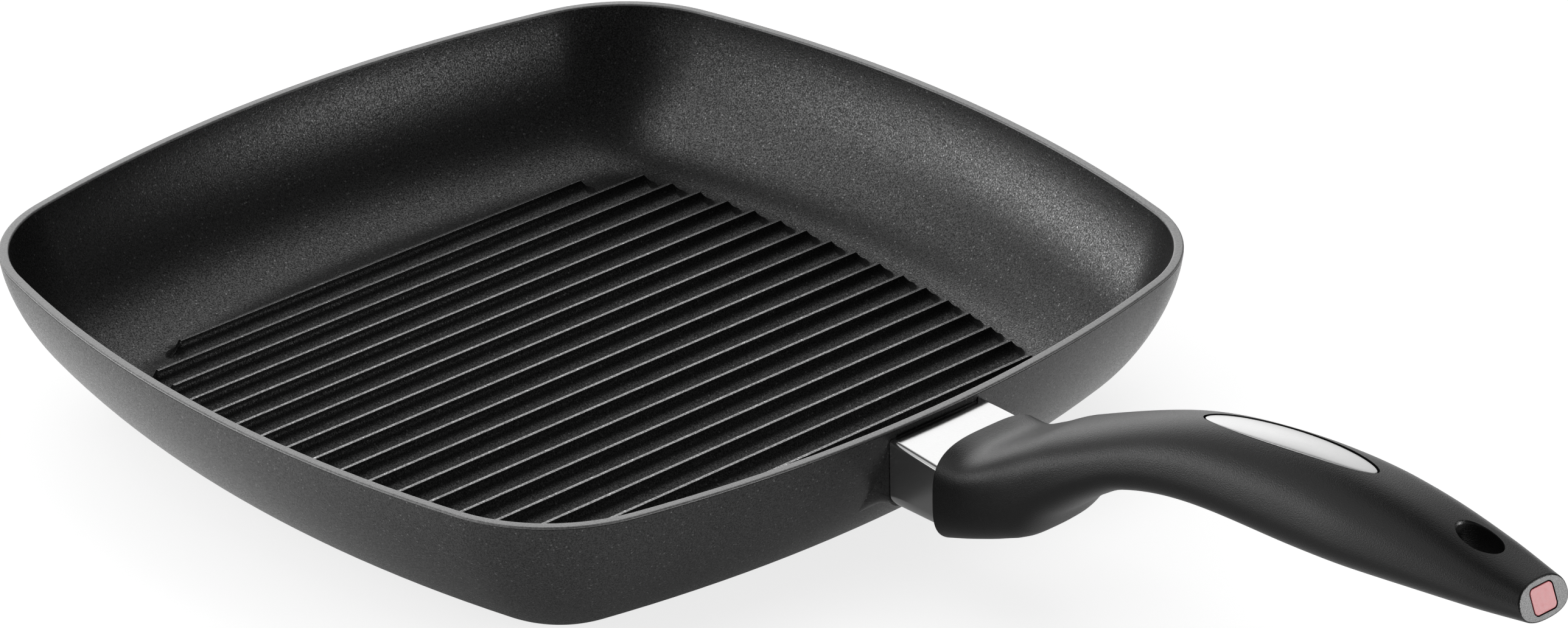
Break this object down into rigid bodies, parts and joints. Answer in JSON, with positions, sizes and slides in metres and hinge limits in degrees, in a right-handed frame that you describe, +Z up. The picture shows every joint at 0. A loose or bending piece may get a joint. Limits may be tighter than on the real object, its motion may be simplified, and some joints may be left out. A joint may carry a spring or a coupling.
{
  "type": "square grill pan",
  "caption": "Square grill pan: a ribbed cast pan with bowed sides and a rounded rim, and an arched black handle with a steel ferrule and a hanging hole.",
  "frame": {"origin": "centre of the flat base, on the surface that the pan stands on", "axes": "+X along the handle, away from the pan; +Y along the ribs; +Z up"},
  "size_m": [0.4805, 0.274, 0.0864],
  "materials": {
    "coated_aluminium": "satin speckled non-stick coating",
    "ferrule_steel": "satin",
    "black_phenolic": "fine grained satin",
    "spring_steel": "plain",
    "satin_plate": "satin",
    "red_inlay": "semi gloss"
  },
  "bodies": {
    "root": {"pan_body": "coated_aluminium", "ferrule": "ferrule_steel", "handle_grip": "black_phenolic", "lock_spring": "spring_steel", "badge_plate": "satin_plate", "end_inlay": "red_inlay"}
  },
  "joints": []
}
